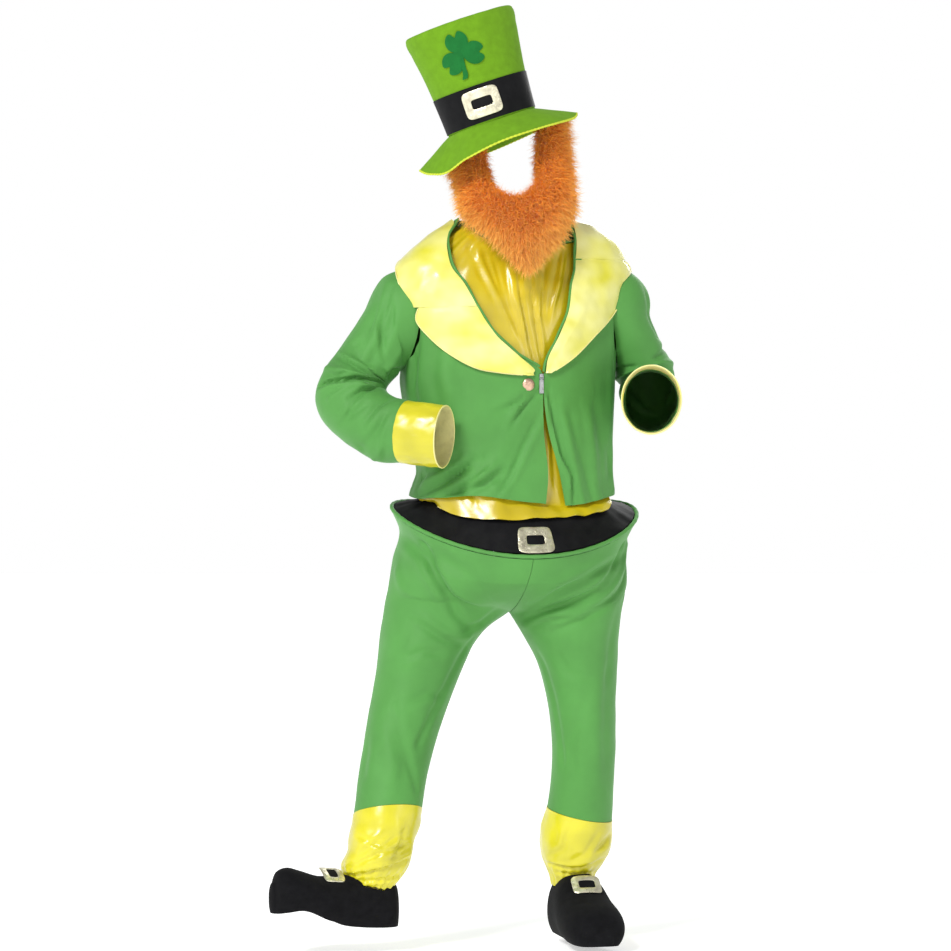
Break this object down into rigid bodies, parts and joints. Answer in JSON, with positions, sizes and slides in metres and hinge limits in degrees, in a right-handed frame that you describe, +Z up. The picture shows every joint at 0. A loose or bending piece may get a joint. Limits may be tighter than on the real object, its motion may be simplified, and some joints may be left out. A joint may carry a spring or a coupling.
{
  "type": "costume set",
  "caption": "Green and yellow leprechaun costume in its worn pose: tilted felt hat with fur beard, lapelled jacket with mock shirt, hooped trousers with belt, and black shoe covers.",
  "frame": {"origin": "in the neck opening at the height of the shoulders, where the wearer holds the costume up", "axes": "+Z up along the standing wearer, -Y out of the front, +X to the wearer's left"},
  "size_m": [0.8198, 0.4701, 1.8894],
  "materials": {
    "jersey": "fine knit, soft sheen",
    "satin": "satin, glossy",
    "felt": "felt, matt",
    "dark_felt": "felt, matt",
    "black_satin": "satin, dull",
    "velour": "pile, matt",
    "foil": "pale gold foil, crinkled",
    "rose_metal": "polished",
    "steel": "satin finish",
    "fur": "long soft pile"
  },
  "bodies": {
    "costume": {"jacket_back": "jersey", "jacket_front_right": "jersey", "jacket_front_left": "jersey", "sleeve_right": "jersey", "sleeve_left": "jersey", "piping_right": "jersey", "piping_left": "jersey", "shirt_neck_binding": "jersey", "waist_hoop": "jersey", "trouser_right": "jersey", "trouser_left": "jersey", "cuff_right": "satin", "cuff_left": "satin", "collar": "satin", "lapel_right": "satin", "lapel_left": "satin", "shirt_front": "satin", "leg_cuff_right": "satin", "leg_cuff_left": "satin", "hat_crown": "felt", "hat_top": "felt", "hat_brim": "felt", "hat_shamrock": "dark_felt", "hat_band": "black_satin", "belt": "black_satin", "shoe_cover_right": "velour", "shoe_cover_left": "velour", "hat_buckle": "foil", "belt_buckle": "foil", "shoe_buckle_right": "foil", "shoe_buckle_left": "foil", "jacket_button": "rose_metal", "zip_slider": "steel", "beard": "fur"},
    "pull_tab": {"zip_pull_tab": "steel"}
  },
  "joints": [
    {"name": "pull_tab_swing", "type": "hinge", "parent": "costume", "child": "pull_tab", "pos_m": [0.05759, -0.13096, -0.30355], "axis": [-0.9323, -0.3614, -0.0174], "range_deg": [0, 120]}
  ]
}
